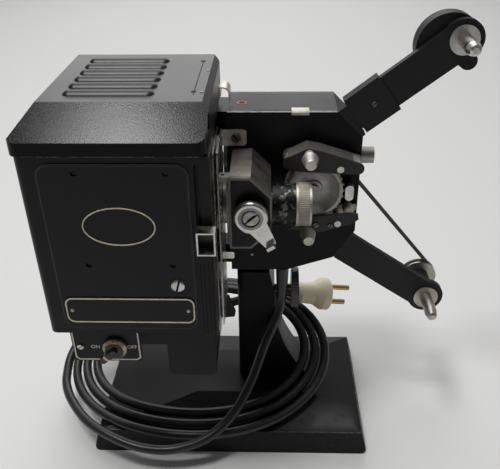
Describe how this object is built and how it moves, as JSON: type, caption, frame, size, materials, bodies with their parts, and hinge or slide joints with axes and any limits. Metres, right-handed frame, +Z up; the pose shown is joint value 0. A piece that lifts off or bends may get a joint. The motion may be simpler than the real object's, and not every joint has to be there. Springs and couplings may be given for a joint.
{
  "type": "film projector",
  "caption": "Small-gauge film projector with a louvred lamphouse, toothed film drive, two reel arms and a tilting head on a cast stand with its mains cord coiled.",
  "frame": {"origin": "centre of the base's underside", "axes": "+X the way the lens looks, +Y away from the film side, +Z up"},
  "size_m": [0.2702, 0.1474, 0.2842],
  "materials": {
    "cast_black": "satin black enamel on cast iron",
    "lacquer": "black lacquer, light wear",
    "pebble": "pebbled black lacquer",
    "nickel": "worn nickel plate",
    "steel": "aged steel",
    "cast_grey": "dull cast grey",
    "sheet": "dark painted sheet",
    "cord": "satin black rubber",
    "belt": "brownish round belt",
    "bakelite": "moulded black",
    "cream": "moulded cream",
    "brass": "bright",
    "glass": "clear",
    "mirror": "polished"
  },
  "bodies": {
    "stand": {"base_casting": "cast_black", "base_plate": "sheet", "column": "cast_black", "tilt_pin": "steel", "cord_hook": "cast_black", "cord_lead": "cord", "cord_coil": "cord", "cord_tail": "cord", "plug_body": "cream", "plug_pins": "brass"},
    "tilt_clamp": {"tilt_knob": "steel"},
    "head": {"cord_gland": "cord", "mechanism_case": "lacquer", "face_plate": "lacquer", "back_cover": "lacquer", "head_screws": "nickel", "tilt_tongue": "cast_black", "shutter_plate": "nickel", "gate_plate": "nickel", "lamphouse": "lacquer", "front_panel": "lacquer", "switch_plate": "lacquer", "lower_housing": "lacquer", "lamp_socket": "brass", "lamp_bulb": "glass", "reflector": "mirror", "condenser_tube": "nickel", "condenser_lens": "glass", "gate_block": "cast_grey", "gate_cover": "lacquer", "lever_screw": "nickel", "film_posts": "nickel", "bushings": "brass", "motor": "sheet", "belts": "belt", "arm_socket": "lacquer", "lower_arm": "lacquer"},
    "slider": {"frame_slider": "nickel"},
    "roof": {"roof_cap": "pebble", "roof_catch": "nickel"},
    "switch": {"switch_knob": "bakelite"},
    "gate_lever": {"gate_lever": "nickel"},
    "lens": {"lens_barrel": "lacquer", "lens_ring": "nickel", "lens_glass": "glass"},
    "main_drive": {"main_shaft": "steel", "hand_knob": "cast_grey"},
    "shutter": {"shutter": "cast_grey"},
    "motor_rotor": {"motor_rotor": "steel"},
    "sprocket_drive": {"sprocket": "cast_grey", "sprocket_shaft": "steel"},
    "take_up": {"lower_spindle": "nickel"},
    "upper_shoe": {"upper_shoe": "lacquer", "upper_rollers": "cast_grey"},
    "lower_shoe": {"lower_shoe": "lacquer", "lower_rollers": "cast_grey"},
    "upper_arm": {"upper_arm": "lacquer", "rewind_cover": "lacquer"},
    "upper_spindle": {"upper_spindle": "nickel"},
    "rewind_crank": {"rewind_crank": "lacquer"}
  },
  "joints": [
    {"name": "head_tilt", "type": "hinge", "parent": "stand", "child": "head", "pos_m": [0.018, 0.0065, 0.098], "axis": [0, -1, 0], "range_deg": [0, 10]},
    {"name": "tilt_clamp_turn", "type": "hinge", "parent": "stand", "child": "tilt_clamp", "pos_m": [0.042, 0.0065, 0.098], "axis": [1, 0, 0], "range_deg": [0, 270]},
    {"name": "frame_slide", "type": "slide", "parent": "head", "child": "slider", "axis": [0, 0, 1], "range_m": [0, 0.03]},
    {"name": "roof_lift", "type": "slide", "parent": "head", "child": "roof", "axis": [0, 0, 1], "range_m": [0, 0.06]},
    {"name": "switch_turn", "type": "hinge", "parent": "head", "child": "switch", "pos_m": [-0.0618, -0.078, 0.1143], "axis": [0, 1, 0], "range_deg": [0, 90]},
    {"name": "gate_lever_turn", "type": "hinge", "parent": "head", "child": "gate_lever", "pos_m": [0.0165, -0.055, 0.1892], "axis": [0, 1, 0], "range_deg": [0, 40]},
    {"name": "lens_focus", "type": "slide", "parent": "head", "child": "lens", "axis": [1, 0, 0], "range_m": [0, 0.005]},
    {"name": "main_spin", "type": "hinge", "parent": "head", "child": "main_drive", "pos_m": [0.04, 0.004, 0.1995], "axis": [1, 0, 0], "continuous": true},
    {"name": "shutter_spin", "type": "hinge", "parent": "head", "child": "shutter", "pos_m": [0.002, -0.012, 0.1765], "axis": [1, 0, 0], "continuous": true},
    {"name": "motor_spin", "type": "hinge", "parent": "head", "child": "motor_rotor", "pos_m": [0.04, 0.0095, 0.148], "axis": [1, 0, 0], "continuous": true},
    {"name": "sprocket_spin", "type": "hinge", "parent": "head", "child": "sprocket_drive", "pos_m": [0.0525, 0, 0.1875], "axis": [0, 1, 0], "continuous": true},
    {"name": "take_up_spin", "type": "hinge", "parent": "head", "child": "take_up", "pos_m": [0.1315, -0.005, 0.1015], "axis": [0, 1, 0], "continuous": true},
    {"name": "upper_shoe_swing", "type": "hinge", "parent": "head", "child": "upper_shoe", "pos_m": [0.067, -0.017, 0.2025], "axis": [0, 1, 0], "range_deg": [0, 20]},
    {"name": "lower_shoe_swing", "type": "hinge", "parent": "head", "child": "lower_shoe", "pos_m": [0.0674, -0.017, 0.1669], "axis": [0, -1, 0], "range_deg": [0, 20]},
    {"name": "upper_arm_pull", "type": "slide", "parent": "head", "child": "upper_arm", "axis": [0.7882, 0, 0.6154], "range_m": [0, 0.03]},
    {"name": "rewind_turn", "type": "hinge", "parent": "upper_arm", "child": "rewind_crank", "pos_m": [0.12335, 0.005, 0.2662], "axis": [0, 1, 0], "continuous": true},
    {"name": "upper_spindle_spin", "type": "hinge", "parent": "upper_arm", "child": "upper_spindle", "pos_m": [0.1295, -0.005, 0.271], "axis": [0, 1, 0], "continuous": true}
  ],
  "couplings": [
    {"joint": "shutter_spin", "follows": "main_spin", "ratio": -0.98},
    {"joint": "motor_spin", "follows": "main_spin", "ratio": 1.5556},
    {"joint": "sprocket_spin", "follows": "main_spin", "ratio": 0.035714},
    {"joint": "take_up_spin", "follows": "main_spin", "ratio": 0.054422},
    {"joint": "upper_spindle_spin", "follows": "rewind_turn", "ratio": -3}
  ]
}
